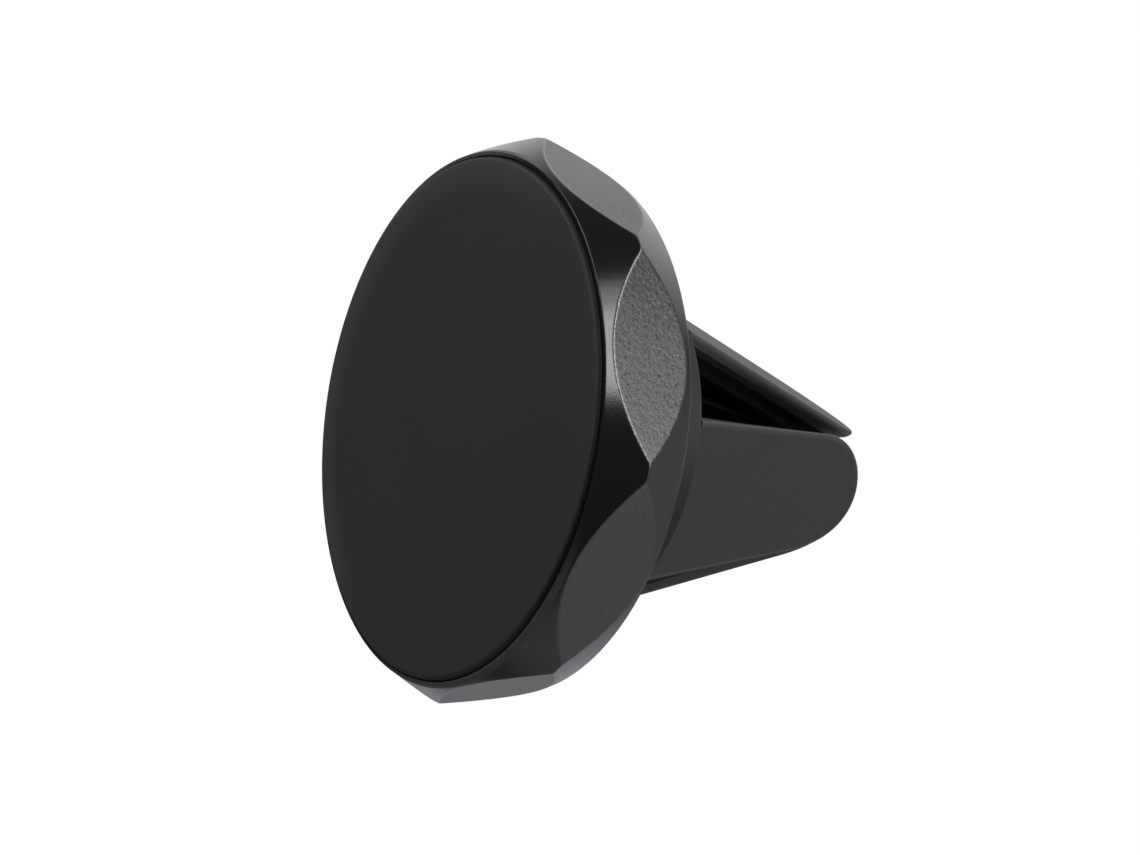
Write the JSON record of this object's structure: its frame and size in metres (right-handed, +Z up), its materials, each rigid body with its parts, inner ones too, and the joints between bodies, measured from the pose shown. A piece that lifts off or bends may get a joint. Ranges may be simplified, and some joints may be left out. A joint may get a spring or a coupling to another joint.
{
  "type": "magnetic vent phone mount",
  "caption": "Magnetic car phone mount: a faceted round head with a soft face pad turns on a hub whose leaning rubber fingers grip an air vent blade.",
  "frame": {"origin": "centre of the blade seat, the flat rear face of the hub cap between the roots of the fingers", "axes": "+Y along the swivel axis from the face towards the vent, +Z up with the blade slots along X and Z, face towards -Y"},
  "size_m": [0.0408, 0.036, 0.0408],
  "materials": {
    "black_anodised": "black anodised, fine grain on the flats",
    "pad_silicone": "matte soft silicone",
    "clip_rubber": "satin rubber over a firm core",
    "black_plastic": "fine moulded",
    "adhesive_film": "double-sided film",
    "magnet_nickel": "nickel plated",
    "zinc_steel": "zinc plated",
    "spring_steel": "bright rolled",
    "bush_nylon": "natural nylon"
  },
  "bodies": {
    "clip": {"clip_hub": "clip_rubber", "hub_cap": "clip_rubber", "pivot_bolt": "zinc_steel", "pivot_nut": "zinc_steel", "disc_spring": "spring_steel", "friction_washer": "bush_nylon"},
    "head": {"bezel_ring": "black_anodised", "face_pad": "pad_silicone", "adhesive_disc": "adhesive_film", "magnet_tray": "black_plastic", "magnet_1": "magnet_nickel", "magnet_2": "magnet_nickel", "magnet_3": "magnet_nickel", "magnet_4": "magnet_nickel", "magnet_5": "magnet_nickel", "magnet_6": "magnet_nickel", "yoke_plate": "zinc_steel", "rear_cover": "black_plastic", "cover_screw_1": "zinc_steel", "cover_screw_2": "zinc_steel", "cover_screw_3": "zinc_steel", "swivel_bush": "bush_nylon"},
    "finger_1": {"finger_sleeve_1": "clip_rubber", "spring_leaf_1": "spring_steel"},
    "finger_2": {"finger_sleeve_2": "clip_rubber", "spring_leaf_2": "spring_steel"},
    "finger_3": {"finger_sleeve_3": "clip_rubber", "spring_leaf_3": "spring_steel"},
    "finger_4": {"finger_sleeve_4": "clip_rubber", "spring_leaf_4": "spring_steel"}
  },
  "joints": [
    {"name": "head_swivel", "type": "hinge", "parent": "clip", "child": "head", "pos_m": [0, -0.0078, 0], "axis": [0, 1, 0], "continuous": true},
    {"name": "finger_1_flex", "type": "hinge", "parent": "clip", "child": "finger_1", "pos_m": [0.0074, -0.0016, 0.0074], "axis": [0.7071, 0, -0.7071], "range_deg": [0, 7], "stiffness_Nm_per_rad": 0.6},
    {"name": "finger_2_flex", "type": "hinge", "parent": "clip", "child": "finger_2", "pos_m": [0.0074, -0.0016, -0.0074], "axis": [-0.7071, 0, -0.7071], "range_deg": [0, 7], "stiffness_Nm_per_rad": 0.6},
    {"name": "finger_3_flex", "type": "hinge", "parent": "clip", "child": "finger_3", "pos_m": [-0.0074, -0.0016, -0.0074], "axis": [-0.7071, 0, 0.7071], "range_deg": [0, 7], "stiffness_Nm_per_rad": 0.6},
    {"name": "finger_4_flex", "type": "hinge", "parent": "clip", "child": "finger_4", "pos_m": [-0.0074, -0.0016, 0.0074], "axis": [0.7071, 0, 0.7071], "range_deg": [0, 7], "stiffness_Nm_per_rad": 0.6}
  ]
}
